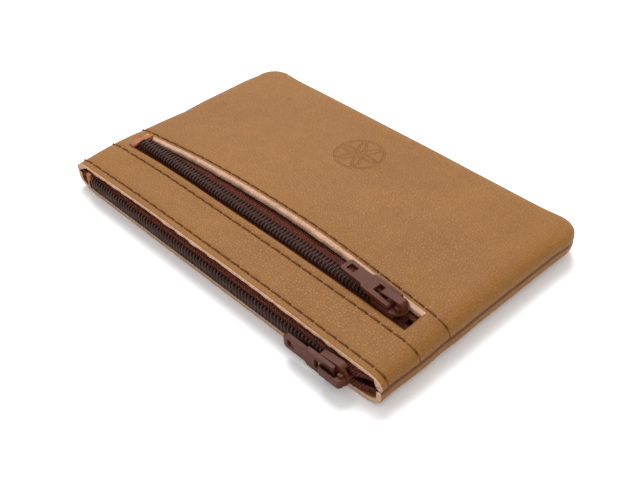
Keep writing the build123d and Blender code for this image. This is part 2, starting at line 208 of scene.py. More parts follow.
@dataclass(frozen=True)
class Leather:
    """Drum-dyed cowhide with a fine pebble grain.

    Attributes:
        name: the material's name.
        colour: its main colour.
        dark: the colour of its grain's hollows and creases, and of the painted shade along the seam
            and in the rosette's pressed lines.
        seam_shade_colour: the colour of the painted shade deep in the seam.
        seam_height: where the turned seam runs, in metres.
        mark_at: middle of the pressed rosette, or None.
        mark_radius: the rosette's radius.
    """

    name: str
    colour: Colour = tone(139, 95, 41)
    dark: Colour = tone(100, 59, 20)
    seam_shade_colour: Colour = tone(76, 38, 12)
    seam_height: float = 5.4 * MM
    mark_at: tuple[float, float] | None = None
    mark_radius: float = 7.0 * MM

    def rosette(self, graph: Graph, point: Wire) -> Wire:
        """Pressed lines of a six-petalled rosette in a ring, 1 in its lines and 0 outside."""
        x, y, _ = graph.axes(point)
        x = x - self.mark_at[0] / MM
        y = y - self.mark_at[1] / MM
        radius = self.mark_radius / MM
        reach = (x * x + y * y) ** 0.5
        turn = graph.node("ShaderNodeMath", {"operation": "ARCTAN2"}, {0: y, 1: x})
        folded = abs((turn + math.pi / 6) % (math.pi / 3) - math.pi / 6)
        across = reach * folded.cosine() - radius * 0.5
        along = reach * folded.sine() + radius * math.sqrt(0.75)
        petal = abs((across * across + along * along) ** 0.5 - radius)
        inside = reach.fade(radius, radius + 0.15, 1.0, 0.0)
        ring = abs(reach - radius)
        hub = abs(reach - radius * 0.16)
        lines = ring.least(hub).fade(0.18, 0.5, 1.0, 0.0)
        return lines.most(petal.fade(0.16, 0.48, 1.0, 0.0) * inside)

    def material(self) -> bpy.types.Material:
        """Builds the finish."""
        graph = Graph(self.name)
        point = graph.place()
        _, _, z = graph.axes(point)
        warp = graph.noise(point, 0.9, 2.0)
        cells = graph.node(
            "ShaderNodeTexVoronoi",
            {"feature": "DISTANCE_TO_EDGE"},
            {"Vector": point, "Scale": 1.35, "Randomness": 1.0},
        )
        pebble = (cells + warp * 0.12).fade(0.02, 0.34)
        fine = graph.noise(point, 4.5, 4.0, 0.6)
        broad = graph.noise(point, 0.045, 3.0, 0.5)
        middle = graph.noise(point, 0.35, 3.0, 0.6)
        # Painted shade: the colour darkens towards the seam's groove, where shade falls.
        seam_shade = abs(z - self.seam_height / MM).fade(0.15, 0.8, 1.0, 0.0)
        shade = (0.5 - pebble * 0.3 + (fine - 0.5) * 0.4 + (middle - 0.5) * 0.35).most(0.0)
        shade = shade + (broad - 0.5) * 0.5 + seam_shade * 0.5
        colour = graph.mix(shade.most(0.0).least(1.0), self.colour, self.dark)
        colour = graph.mix(seam_shade * 0.85, colour, self.seam_shade_colour)
        relief = pebble * 0.6 + fine * 0.35 + middle * 0.4
        if self.mark_at:
            mark = self.rosette(graph, point)
            # Painted shade: the rosette's pressed lines are darkened a little, on top of being sunk
            # by the bump.
            colour = graph.mix(mark * 0.2, colour, self.dark)
            relief = relief - mark * 2.4
        graph.set(Base_Color=colour, Roughness=0.56 - pebble * 0.12 + fine * 0.08)
        graph.bump(relief, 0.1 * MM, 1.0)
        graph.set(Specular_IOR_Level=0.2)
        return graph.material


@dataclass(frozen=True)
class RawEdge:
    """Undyed fibre of a cut leather edge."""

    name: str = "raw_edge"
    colour: Colour = tone(200, 163, 137)
    dark: Colour = tone(135, 92, 67)

    def material(self) -> bpy.types.Material:
        """Builds the finish."""
        graph = Graph(self.name)
        point = graph.place((1000.0, 1000.0, 2600.0))
        fibre = graph.noise(point, 1.6, 4.0, 0.7)
        patch = graph.noise(graph.place(), 0.5, 2.0)
        shade = (fibre * 1.9 + patch * 0.7 - 1.05).most(0.0).least(1.0)
        graph.set(Base_Color=graph.mix(shade, self.colour, self.dark), Roughness=0.92)
        graph.bump(fibre, 0.25 * MM, 0.9)
        graph.set(Specular_IOR_Level=0.15)
        return graph.material


@dataclass(frozen=True)
class Twill:
    """Woven polyester tape with a herringbone rib, on the piece's flat lengths."""

    name: str
    colour: Colour = tone(116, 60, 45)
    dark: Colour = tone(26, 12, 9)
    rib: float = 0.8

    def material(self) -> bpy.types.Material:
        """Builds the finish."""
        graph = Graph(self.name)
        u, v, _ = graph.axes(graph.flat())
        zigzag = abs(v % 2.4 - 1.2)
        warp = ((u + zigzag) * (2 * math.pi / self.rib)).sine()
        weft = (v * (2 * math.pi / 0.6)).sine()
        weave = (warp * 0.3 + weft * 0.2 + 0.5).most(0.0).least(1.0)
        fuzz = graph.noise(graph.flat(), 1.9, 4.0, 0.7)
        shade = (weave * 0.7 + (fuzz - 0.5) * 2.8 + 0.08).most(0.0).least(1.0)
        graph.set(Base_Color=graph.mix(shade, self.dark, self.colour), Roughness=0.9)
        graph.bump(weave + fuzz, 0.2 * MM, 0.9)
        graph.set(Specular_IOR_Level=0.08)
        return graph.material


@dataclass(frozen=True)
class Nylon:
    """Dyed nylon monofilament."""

    name: str = "coil_nylon"
    colour: Colour = tone(84, 56, 47)
    dark: Colour = tone(28, 13, 10)

    def material(self) -> bpy.types.Material:
        """Builds the finish."""
        graph = Graph(self.name)
        point = graph.place()
        mottle = graph.noise(point, 0.8, 3.0)
        colour = graph.mix(mottle, self.dark, self.colour)
        graph.set(Base_Color=colour, Roughness=0.34 + mottle * 0.2)
        graph.bump(graph.noise(point, 6.0, 2.0), 0.02 * MM, 0.5)
        graph.set(Specular_IOR_Level=0.14)
        return graph.material


@dataclass(frozen=True)
class Thread:
    """Twisted sewing thread."""

    name: str = "thread"
    colour: Colour = tone(133, 83, 38)
    dark: Colour = tone(68, 34, 12)

    def material(self) -> bpy.types.Material:
        """Builds the finish."""
        graph = Graph(self.name)
        point = graph.place()
        x, y, z = graph.axes(point)
        twist = ((x * 1.3 + y + z) * (2 * math.pi / 0.5)).sine() * 0.5 + 0.5
        fuzz = graph.noise(point, 5.0, 3.0)
        shade = twist * 0.7 + fuzz * 0.3
        graph.set(Base_Color=graph.mix(shade, self.dark, self.colour), Roughness=0.75)
        graph.bump(twist, 0.05 * MM, 0.8)
        graph.set(Specular_IOR_Level=0.15)
        return graph.material


@dataclass(frozen=True)
class Enamel:
    """Stoved enamel on a die casting."""

    name: str = "enamel"
    colour: Colour = tone(92, 46, 30)
    dark: Colour = tone(58, 28, 18)

    def material(self) -> bpy.types.Material:
        """Builds the finish."""
        graph = Graph(self.name)
        point = graph.place()
        cloud = graph.noise(point, 0.45, 3.0)
        orange_peel = graph.noise(point, 2.2, 3.0)
        graph.set(
            Base_Color=graph.mix(cloud, self.dark, self.colour),
            Roughness=0.38 + orange_peel * 0.16,
        )
        graph.set(Specular_IOR_Level=0.12)
        graph.bump(orange_peel, 0.03 * MM, 0.5)
        return graph.material


@dataclass(frozen=True)
class Plain:
    """A dull, even finish with fine noise, for what is hardly seen."""

    name: str
    colour: Colour
    dark: Colour
    grain: float = 2.0
    roughness: float = 0.8
    metallic: float = 0.0

    def material(self) -> bpy.types.Material:
        """Builds the finish."""
        graph = Graph(self.name)
        point = graph.place()
        speck = graph.noise(point, self.grain, 4.0, 0.65)
        graph.set(Base_Color=graph.mix(speck, self.dark, self.colour))
        graph.set(Roughness=self.roughness, Metallic=self.metallic)
        graph.bump(speck, 0.05 * MM, 0.6)
        graph.set(Specular_IOR_Level=0.12)
        return graph.material


class Side(Enum):
    """Which leather, or which half of a zip."""

    FRONT = 1
    BACK = -1


class Row(Enum):
    """A stitch row of the front leather, by the node that it stands for."""

    PANEL = "front_panel_slot_stitches"
    STRIP = "strip_slot_stitches"
    MOUTH = "strip_mouth_stitches"


# ---------------------------------------------------------------- meshes


def link(made: bpy.types.Object) -> bpy.types.Object:
    """Puts an object in the scene."""
    bpy.context.scene.collection.objects.link(made)
    return made


def shape_object(mesh: bmesh.types.BMesh, name: str, smooth: float = 40.0) -> bpy.types.Object:
    """Turns a bmesh into an object at the origin.

    Args:
        mesh: the finished bmesh, which is freed.
        name: the object's name.
        smooth: edges sharper than this many degrees stay sharp.

    Returns:
        The object, linked to the scene.
    """
    data = bpy.data.meshes.new(name)
    mesh.to_mesh(data)
    mesh.free()
    data.shade_smooth()
    data.set_sharp_from_angle(angle=math.radians(smooth))
    return link(bpy.data.objects.new(name, data))


def sheet_mesh(
    columns: Sequence[float],
    rows: Sequence[float],
    place: Place,
    gone: Callable[[float, float], bool] = lambda u, v: False,
) -> bmesh.types.BMesh:
    """A sheet drawn flat as a grid, cut, and then bent into place.

    Args:
        columns: flat positions of its lines along U.
        rows: flat positions of its lines along V.
        place: where a flat point goes.
        gone: whether the sheet is cut away at a flat point.

    Returns:
        The bent sheet, with its flat lengths in the UV map "flat".
    """
    mesh = bmesh.new()
    across, down = len(columns) - 1, len(rows) - 1
    bmesh.ops.create_grid(mesh, x_segments=across, y_segments=down, size=1.0)
    for vert in mesh.verts:
        i = round((vert.co.x + 1) / 2 * across)
        j = round((vert.co.y + 1) / 2 * down)
        vert.co = Vector((columns[i], rows[j], 0.0))
    lost = [f for f in mesh.faces if gone(*f.calc_center_median().xy)]
    bmesh.ops.delete(mesh, geom=lost, context="FACES")
    layer = mesh.loops.layers.uv.new("flat")
    for face in mesh.faces:
        for loop in face.loops:
            loop[layer].uv = loop.vert.co.xy
    for vert in mesh.verts:
        vert.co = place(vert.co.x, vert.co.y)
    return mesh


def spaced(stops: Sequence[float], steps: Sequence[float]) -> list[float]:
    """Lines through every stop, with about steps[i] between stops i and i + 1."""
    lines = [stops[0]]
    for low, high, step in zip(stops, stops[1:], steps):
        count = max(1, round((high - low) / step))
        lines += [low + (high - low) * k / count for k in range(1, count + 1)]
    return lines


def dress(piece: bpy.types.Object, *finishes: bpy.types.Material) -> None:
    """Puts finishes in a new piece's material slots, in order."""
    for finish in finishes:
        piece.data.materials.append(finish)


def settle(piece: bpy.types.Object, body: str, slot: str, node: str) -> bpy.types.Object:
    """Hangs a finished piece on a body and hides the node it stands for."""
    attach(piece, body)
    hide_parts(node)
    LOG.info("%s: %d faces", piece.name, len(piece.data.polygons))
    return piece


def sheet_piece(
    mesh: bmesh.types.BMesh,
    name: str,
    thickness: float,
    finishes: Sequence[bpy.types.Material],
    slot: str,
    node: str,
    flip: bool = False,
) -> bpy.types.Object:
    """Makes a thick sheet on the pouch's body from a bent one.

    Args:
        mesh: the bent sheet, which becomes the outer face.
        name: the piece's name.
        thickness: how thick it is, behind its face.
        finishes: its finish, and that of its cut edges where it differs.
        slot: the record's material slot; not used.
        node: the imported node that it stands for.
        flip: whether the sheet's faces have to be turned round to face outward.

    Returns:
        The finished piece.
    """
    if flip:
        bmesh.ops.reverse_faces(mesh, faces=mesh.faces)
    piece = shape_object(mesh, name, SHEET_SMOOTH)
    solid = piece.modifiers.new("thickness", "SOLIDIFY")
    solid.thickness = thickness
    solid.offset = -1.0
    solid.material_offset_rim = len(finishes) - 1
    solid.use_even_offset = False
    dress(piece, *finishes)
    return settle(piece, "pouch", slot, node)


def smoothstep(low: float, high: float, value: float) -> float:
    """0 before low, 1 after high, smooth between."""
    t = min(1.0, max(0.0, (value - low) / (high - low)))
    return t * t * (3 - 2 * t)


def ripple(x: float, y: float, seed: float, height: float) -> float:
    """Smooth noise between -height and height at a scaled point."""
    return noise.noise(Vector((x, y, seed))) * height


# ---------------------------------------------------------------- the leather


@dataclass
class PouchForm:
    """The bent shape of both leathers, as a map from a flat panel to its place.

    A flat panel's U runs along X from the middle, and its V along Y. Each edge that is sewn rolls
    over the rim and then turns in at the seam. The mouth edge is cut.

    Attributes:
        fold, roll, corner: radii of the seam's fold, the rim's roll and the far corners.
        leather: how thick the leather looks at its cut edges.
        fullness_front, fullness_back: power of each side's climb, lower for a steeper side.
        dome_at, dome_reach, dome_fall: top of the front's dome, and how far and by how much it
            falls sideways, towards the mouth and towards the far seam.
        dome_slack, left_fall, swell: further drops of the dome, all over, to the left and uneven.
        row_insets, dents: each stitch row's distance from its edge, and how deep it pulls.
        bow_ends, bow_rise, bow_half, bow_lift: arch of the slot's far edge, and its share upward.
        strip_lift: how far the strip's slot edge stands up.
        ear_x, ear_y: how far the far corners stick out.
        left_bulge, left_tuck: how far the left rim swells by the strip and draws in beyond it.
        side_wave, far_tuck: waviness of the side rims, and dip of the far rim's middle.
        back_lift: how far the back's far corners rise off the floor.
    """

    half_length: float
    mouth: float
    far: float
    seam: float
    crown: float
    slot_low: float
    slot_high: float
    slot_left: float
    slot_right: float
    fold: float = 0.9 * MM
    roll: float = 6.0 * MM
    corner: float = 7.8 * MM
    seam_gap: float = 0.04 * MM
    leather: float = 1.5 * MM
    fullness_front: float = 0.75
    fullness_back: float = 0.36
    dome_at: tuple[float, float] = (6 * MM, -10 * MM)
    dome_reach: tuple[float, float, float] = (54 * MM, 28 * MM, 42 * MM)
    dome_fall: tuple[float, float, float] = (0.55 * MM, 0.95 * MM, 0.75 * MM)
    dome_slack: float = 0.15 * MM
    left_fall: float = 0.5 * MM
    swell: float = 0.22 * MM
    row_insets: tuple[float, float, float] = (1.1 * MM, 2.1 * MM, 2.4 * MM)
    dents: tuple[float, float, float] = (0.3 * MM, 0.32 * MM, 0.24 * MM)
    bow_ends: float = -0.3 * MM
    bow_rise: float = 2.6 * MM
    bow_half: float = 57 * MM
    bow_lift: float = 0.35
    strip_lift: float = 0.5 * MM
    ear_x: float = 0.9 * MM
    ear_y: float = 1.0 * MM
    left_bulge: float = 1.3 * MM
    left_tuck: float = 0.5 * MM
    side_wave: float = 0.3 * MM
    far_tuck: float = 0.2 * MM
    back_lift: float = 1.6 * MM
    roll_flat: float = field(init=False)
    ring_flat: float = field(init=False)
    half_flat: float = field(init=False)
    far_flat: float = field(init=False)

    @classmethod
    def from_frame(cls) -> "PouchForm":
        """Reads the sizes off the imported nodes."""
        low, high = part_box("front_panel")
        back_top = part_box("back_panel")[1].z
        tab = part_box("front_zip_end_tab")
        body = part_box("front_slider_body")
        middle = (tab[0].y + tab[1].y) / 2
        return cls(
            half_length=high.x,
            mouth=low.y,
            far=high.y,
            seam=(low.z + back_top) / 2,
            crown=high.z,
            slot_low=middle - 3.7 * MM,
            slot_high=middle + 3.8 * MM,
            slot_left=tab[0].x - 0.6 * MM,
            slot_right=body[1].x + 2.6 * MM,
        )

    def __post_init__(self) -> None:
        """Works out the flat lengths."""
        rise = self.crown - self.seam - self.fold
        self.roll_flat = math.pi / 4 * math.sqrt(2 * (self.roll**2 + rise**2)) * 1.02
        self.ring_flat = self.fold * math.pi / 2 + self.roll_flat
        self.half_flat = self.half_length - self.roll + self.ring_flat
        self.far_flat = self.far - self.roll + self.ring_flat

    def edge(self, run: float, fullness: float) -> tuple[float, float, float]:
        """Section of a sewn edge.

        Args:
            run: flat distance from the seam.
            fullness: power of the climb, lower for an edge that stands more upright.

        Returns:
            Distance in from the rim, height of the fold from 0 to 1, and climb from the fold to
            the panel's face from 0 to 1.
        """
        turn = self.fold * math.pi / 2
        if run < turn:
            angle = run / self.fold
            return self.fold * (1 - math.sin(angle)), 1 - math.cos(angle), 0.0
        if run >= self.ring_flat:
            return self.roll, 1.0, 1.0
        angle = (run - turn) / self.roll_flat * math.pi / 2
        return self.roll * (1 - math.cos(angle)), 1.0, math.sin(angle) ** fullness

    def flat_at(self, inset: float) -> float:
        """Flat distance from the seam of a point this far in from the rim, over the roll."""
        angle = math.acos(max(0.0, 1 - inset / self.roll))
        return self.fold * math.pi / 2 + self.roll_flat * angle / (math.pi / 2)

    def front_top(self, x: float, y: float) -> float:
        """Height of the front leather's face, before its edges roll over."""
        along = (x - self.dome_at[0]) / self.dome_reach[0]
        ahead = y - self.dome_at[1]
        way = 1 if ahead < 0 else 2
        top = self.crown - self.dome_slack - self.dome_fall[0] * along**2
        top -= self.dome_fall[way] * (ahead / self.dome_reach[way]) ** 2
        top -= self.left_fall * smoothstep(-30 * MM, -58 * MM, x)
        return top + ripple(x * 38, y * 46, 3.1, self.swell)

    def row_v(self, row: Row) -> float:
        """Flat V of a stitch row of the front leather."""
        panel, strip, mouth = self.row_insets
        places = {Row.PANEL: self.slot_high + panel, Row.STRIP: self.slot_low - strip}
        return places.get(row, self.mouth + mouth)

    def dent(self, u: float, v: float) -> float:
        """How far stitching pulls the front leather down at a flat point."""
        pucker = 0.7 + 0.3 * math.cos(2 * math.pi * u / STITCH_PITCH + math.pi)
        gaps = [(v - self.row_v(row)) / (0.8 * MM) for row in Row]
        return sum(depth * pucker * math.exp(-gap * gap) for depth, gap in zip(self.dents, gaps))

    def bow(self, u: float, v: float) -> float:
        """How far the slot's far edge, and the leather near it, is pushed towards +Y."""
        angle = math.pi / 2 * min(1.0, abs(u) / self.bow_half)
        arch = self.bow_ends + self.bow_rise * math.cos(angle)
        if v <= self.slot_high:
            return arch * smoothstep(self.slot_low, self.slot_high, v)
        return arch * smoothstep(self.slot_high + 10 * MM, self.slot_high, v)

    def lifted(self, u: float, v: float) -> float:
        """How much the strip's slot edge stands up at a flat point, to 1."""
        along = smoothstep(self.bow_half, 40 * MM, abs(u))
        return along * smoothstep(self.slot_low - 6 * MM, self.slot_low, v) * (v <= self.slot_low)

    def waist(self, x: float, y: float) -> tuple[float, float]:
        """How far the rim leaves its straight line at a point, along X and along Y."""
        side = smoothstep(self.half_length - 14 * MM, self.half_length, abs(x))
        near = smoothstep(self.far - 13 * MM, self.far, y)
        strip = smoothstep(10 * MM, -18 * MM, y)
        push_x = self.side_wave * math.sin(y / (5.2 * MM)) * side * smoothstep(0.0, -20 * MM, y)
        push_x += self.ear_x * side * near
        if x < 0:
            push_x += (self.left_bulge * strip - self.left_tuck * (1 - strip) * (1 - near)) * side
        back = smoothstep(self.far - 14 * MM, self.far, y)
        middle = math.cos(math.pi / 2 * min(1.0, abs(x) / self.half_length)) ** 0.6
        push_y = (self.ear_y * side * near - self.far_tuck * middle) * back
        return math.copysign(push_x, x), push_y

    def flat_u(self, x: float) -> float:
        """Flat U of the leather that lies at this x."""
        inset = self.half_length - abs(x)
        if inset >= self.roll:
            return x
        return math.copysign(self.half_flat - self.flat_at(max(inset, 0.0)), x)

    def over_rim(self, u: float, v: float, fullness: float) -> tuple[float, float, float, float]:
        """Bends a flat point over the sewn edge that it is near.

        Args:
            u: flat position along X.
            v: flat position along Y.
            fullness: power of the climb, as for edge().

        Returns:
            X, Y, height of the fold from 0 to 1, and climb to the panel's face from 0 to 1.
        """
        run_side = self.half_flat - abs(u)
        run_far = self.far_flat - v
        zone = self.ring_flat + self.corner - self.roll
        if run_side < zone and run_far < zone:
            run = min(run_side, run_far)
            left_x, left_y = zone - run_side, zone - run_far
            if left_x >= left_y:
                angle = math.pi / 4 * left_y / left_x
            else:
                angle = math.pi / 2 - math.pi / 4 * left_x / left_y
            inset, level, climb = self.edge(run, fullness)
            reach = self.corner - inset - max(0.0, run - self.ring_flat)
            x = math.copysign(self.half_length - self.corner + reach * math.cos(angle), u)
            return x, self.far - self.corner + reach * math.sin(angle), level, climb
        if run_side < self.ring_flat:
            inset, level, climb = self.edge(run_side, fullness)
            return math.copysign(self.half_length - inset, u), v, level, climb
        if run_far < self.ring_flat:
            inset, level, climb = self.edge(run_far, fullness)
            return u, self.far - inset, level, climb
        return u, v, 1.0, 1.0

    def place(self, u: float, v: float, side: Side) -> Vector:
        """Where a flat point of a leather panel goes.

        Args:
            u: flat position along X.
            v: flat position along Y.
            side: which leather.

        Returns:
            The point on the panel's outer face.
        """
        front = side is Side.FRONT
        fullness = self.fullness_front if front else self.fullness_back
        x, y, level, climb = self.over_rim(u, v, fullness)
        push_x, push_y = self.waist(x, y)
        fold = self.seam + side.value * (self.seam_gap + self.fold * level)
        if front:
            bow = self.bow(u, v)
            z = fold + (self.front_top(x, y) - fold - self.dent(u, v)) * climb
            z += (self.bow_lift * bow + self.strip_lift * self.lifted(u, v)) * climb
            y += bow
        else:
            beyond = math.hypot(max(0.0, abs(x) - 44 * MM), max(0.0, y - 22 * MM))
            z = fold * (1 - climb) + self.back_lift * smoothstep(8 * MM, 21 * MM, beyond)
        return Vector((x + push_x, y + push_y, z))


@dataclass
class LeatherPanel:
    """One leather panel of the pouch."""

    form: PouchForm
    side: Side
    step: float = 0.95 * MM
    lip: float = 0.45 * MM

    def columns(self) -> list[float]:
        """Grid lines along U, close together over the rim."""
        form = self.form
        half, ring = form.half_flat, form.ring_flat
        turn = form.fold * math.pi / 2
        left = form.flat_u(form.slot_left)
        stops = [-half, -half + turn, left, form.slot_right, half - ring, half - turn, half]
        steps = [0.35 * MM, self.step, self.step, self.step, 0.7 * MM, 0.35 * MM]
        return spaced(stops, steps)

    def rows(self) -> list[float]:
        """Grid lines along V, close together by the stitching and over the rim."""
        form = self.form
        stops = [form.mouth, form.mouth + self.lip, form.slot_low]
        stops += [form.slot_high - self.lip, form.slot_high, form.slot_high + 5 * MM]
        turn = form.fold * math.pi / 2
        stops += [form.far_flat - form.ring_flat, form.far_flat - turn, form.far_flat]
        steps = [0.3, 0.6, 1.2, 0.3, 0.5, 1.1, 0.7, 0.35]
        return spaced(stops, [step * MM for step in steps])

    def in_slot(self, u: float, v: float) -> bool:
        """Whether a flat point of the front leather is cut away for the pocket zip."""
        form = self.form
        left = form.flat_u(form.slot_left)
        return left < u < form.slot_right and form.slot_low < v < form.slot_high - self.lip

    def on_lip(self, v: float) -> float:
        """How far down the slanted cut of the mouth or of the slot's far edge a point is, to 1."""
        form = self.form
        if form.slot_high - self.lip <= v < form.slot_high:
            return (form.slot_high - v) / self.lip
        if v < form.mouth + self.lip:
            return (form.mouth + self.lip - v) / self.lip
        return 0.0

    def is_cut(self, u: float, v: float) -> bool:
        """Whether a flat point of the front leather is on a cut edge that shows."""
        form = self.form
        return self.on_lip(v) > 0 and (v < form.slot_low or form.slot_left < u < form.slot_right)

    def bowed(self, u: float, v: float) -> Vector:
        """Where a flat point goes, with the cut edges slanted and slightly ragged."""
        form = self.form
        point = form.place(u, v, self.side)
        if self.side is Side.FRONT and self.is_cut(u, v):
            down = self.on_lip(v)
            inside = smoothstep(form.half_length - 1 * MM, form.half_length - 5 * MM, abs(u))
            point.z -= 0.3 * form.leather * down**1.3 * inside
            point.z += ripple(u * 900, v * 900, 2.0, 0.16 * MM) * down
            point.y += ripple(u * 420, v * 300, 7.7, 0.3 * MM) * down
        return point

    def build(self) -> bpy.types.Object:
        form, front = self.form, self.side is Side.FRONT
        gone = self.in_slot if front else lambda u, v: False
        mesh = sheet_mesh(self.columns(), self.rows(), self.bowed, gone)
        layer = mesh.loops.layers.uv["flat"]
        for face in mesh.faces:
            u, v = sum((loop[layer].uv for loop in face.loops), Vector((0, 0))) / len(face.loops)
            face.material_index = int(front and self.is_cut(u, v))
        name = "front_leather" if front else "back_leather"
        mark = ROSETTE_AT if front else None
        finishes = (Leather(name, seam_height=form.seam, mark_at=mark).material(), RAW_EDGE)
        node = "front_panel" if front else "back_panel"
        piece = sheet_piece(mesh, name, form.leather, finishes, "leather", node, flip=not front)
        return piece


@dataclass
class StitchRow:
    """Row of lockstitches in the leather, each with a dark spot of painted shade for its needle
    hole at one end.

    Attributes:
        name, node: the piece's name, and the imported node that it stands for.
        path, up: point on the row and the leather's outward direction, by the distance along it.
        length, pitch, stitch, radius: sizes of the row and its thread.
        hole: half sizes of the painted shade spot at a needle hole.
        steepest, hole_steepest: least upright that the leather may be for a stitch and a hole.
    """

    name: str
    node: str
    path: Callable[[float], Vector]
    up: Callable[[float], Vector]
    length: float
    pitch: float = STITCH_PITCH
    stitch: float = 3.3 * MM
    radius: float = 0.23 * MM
    hole: tuple[float, float, float] = (0.4 * MM, 0.36 * MM, 0.14 * MM)
    steepest: float = 0.34
    hole_steepest: float = 0.8

    def add(
        self,
        mesh: bmesh.types.BMesh,
        middle: Vector,
        along: Vector,
        up: Vector,
        size: Sequence[float],
    ) -> None:
        """Adds one rounded piece.

        Args:
            mesh: where it goes.
            middle: its middle.
            along: its long direction.
            up: its upward direction, about.
            size: half its length, width and height.
        """
        side = up.cross(along).normalized()
        turn = Matrix((along, side, along.cross(side))).transposed().to_4x4()
        matrix = Matrix.Translation(middle) @ turn @ Matrix.Diagonal((*size, 1.0))
        bmesh.ops.create_uvsphere(mesh, u_segments=7, v_segments=6, radius=1.0, matrix=matrix)

    def build(self) -> bpy.types.Object:
        """Makes the row, its threads in one material slot and the painted shade of its needle holes
        in the next.
        """
        mesh, holes = bmesh.new(), []
        count = round(self.length / self.pitch)
        for k in range(count):
            s = (k - (count - 1) / 2) * self.length / count
            start, end = self.path(s - self.stitch / 2), self.path(s + self.stitch / 2)
            along = (end - start).normalized()
            up = self.up(s)
            if abs(up.z) < self.steepest:
                continue
            sunk = self.radius * (0.25 - 1.1 * (1 - abs(up.z)))
            middle = self.path(s).lerp((start + end) / 2, 0.4) + up * sunk
            size = (self.stitch / 2, self.radius, self.radius)
            wobble = ripple(k * 3.3, self.radius * 1e4, 0.5, 0.1)
            lean = (along + up.cross(along) * (0.08 + wobble)).normalized()
            self.add(mesh, middle, lean, up, size)
            # Painted shade: a dark spot stands at the end of each stitch for the shade in its
            # needle hole.
            if abs(up.z) > self.hole_steepest:
                holes.append((end - up * self.radius * 0.1, along, up))
        first = len(mesh.faces)
        for hole in holes:
            self.add(mesh, *hole, self.hole)
        mesh.faces.ensure_lookup_table()
        for face in mesh.faces[first:]:
            face.material_index = 1
        piece = shape_object(mesh, self.name, ROUND_SMOOTH)
        dress(piece, THREAD, HOLE_SHADE)
        return settle(piece, "pouch", "thread", self.node)


@dataclass
class FrontStitching:
    """The stitch rows that show, which run across the leather and into the side seams."""

    form: PouchForm
    lift: float = 0.12 * MM

    def surface(self, row: Row, s: float) -> Vector:
        """Point of the front leather on a row, at flat position s."""
        return self.form.place(s, self.form.row_v(row), Side.FRONT)

    def normal(self, row: Row, s: float) -> Vector:
        """The leather's outward direction on a row."""
        form, step, v = self.form, 0.5 * MM, self.form.row_v(row)
        along = form.place(s + step, v, Side.FRONT) - form.place(s - step, v, Side.FRONT)
        across = form.place(s, v + step, Side.FRONT) - form.place(s, v - step, Side.FRONT)
        return along.cross(across).normalized()

    def build(self) -> None:
        """Makes the three rows of the front leather and the mouth row of the back."""
        form = self.form
        for row in Row:
            StitchRow(
                f"{row.name.lower()}_stitching",
                row.value,
                lambda s, r=row: self.surface(r, s) + self.normal(r, s) * self.lift,
                lambda s, r=row: self.normal(r, s),
                2 * (form.half_flat - form.fold * 0.9),
            ).build()
        low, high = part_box("back_mouth_stitches")
        y = (low.y + high.y) / 2
        StitchRow(
            "back_mouth_stitching",
            "back_mouth_stitches",
            lambda s: form.place(s, y, Side.BACK) + Vector((0, 0, self.lift)),
            lambda s: Vector((0, 0, -1)),
            2 * (form.half_length - form.roll),
        ).build()


# ---------------------------------------------------------------- zips


@dataclass
class Chain:
    """Where a zip runs: v across it and w out of it, from its middle line.

    Attributes:
        name: the zip's name in the frame.
        origin, across, out: a point of the middle line, and the directions of v and w.
        left, right, parted: X of the chain's two ends and of the slider's post.
        halves: names of the halves at positive and at negative v.
        gap: how far each half stands from the middle line beyond the post.
    """

    name: str
    origin: Vector
    across: Vector
    out: Vector
    left: float
    right: float
    parted: float
    halves: tuple[str, str]
    gap: float = 0.55 * MM

    @classmethod
    def main(cls) -> "Chain":
        """The mouth zip, which faces -Y."""
        upper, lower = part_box("main_zip_coil_upper"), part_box("main_zip_coil_lower")
        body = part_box("main_slider_body")
        origin = Vector((0, upper[1].y + 0.2 * MM, (upper[0].z + lower[1].z) / 2))
        ends = (upper[0].x, body[1].x - 0.5 * MM, (body[0].x + body[1].x) / 2)
        halves = ("upper", "lower")
        return cls("main", origin, Vector((0, 0, 1)), Vector((0, -1, 0)), *ends, halves)

    @classmethod
    def front(cls) -> "Chain":
        """The pocket zip, which faces up."""
        far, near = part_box("front_zip_coil_panel_side"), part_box("front_zip_coil_strip_side")
        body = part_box("front_slider_body")
        origin = Vector((0, (far[0].y + near[1].y) / 2, far[0].z - 0.2 * MM))
        ends = (far[0].x, body[1].x - 0.5 * MM, (body[0].x + body[1].x) / 2)
        halves = ("panel_side", "strip_side")
        return cls("front", origin, Vector((0, 1, 0)), Vector((0, 0, 1)), *ends, halves)

    def at(self, x: float, v: float, w: float) -> Vector:
        """The point at x along the chain, v across it and w out of it."""
        return Vector((x, 0, 0)) + self.origin + self.across * v + self.out * w

    def split(self, x: float) -> float:
        """How far each half has parted from the middle line at x."""
        return self.gap * smoothstep(self.parted - 2.5 * MM, self.parted + 2.5 * MM, x)

    def half(self, side: int) -> str:
        """Name of the half on this side."""
        return self.halves[0] if side > 0 else self.halves[1]


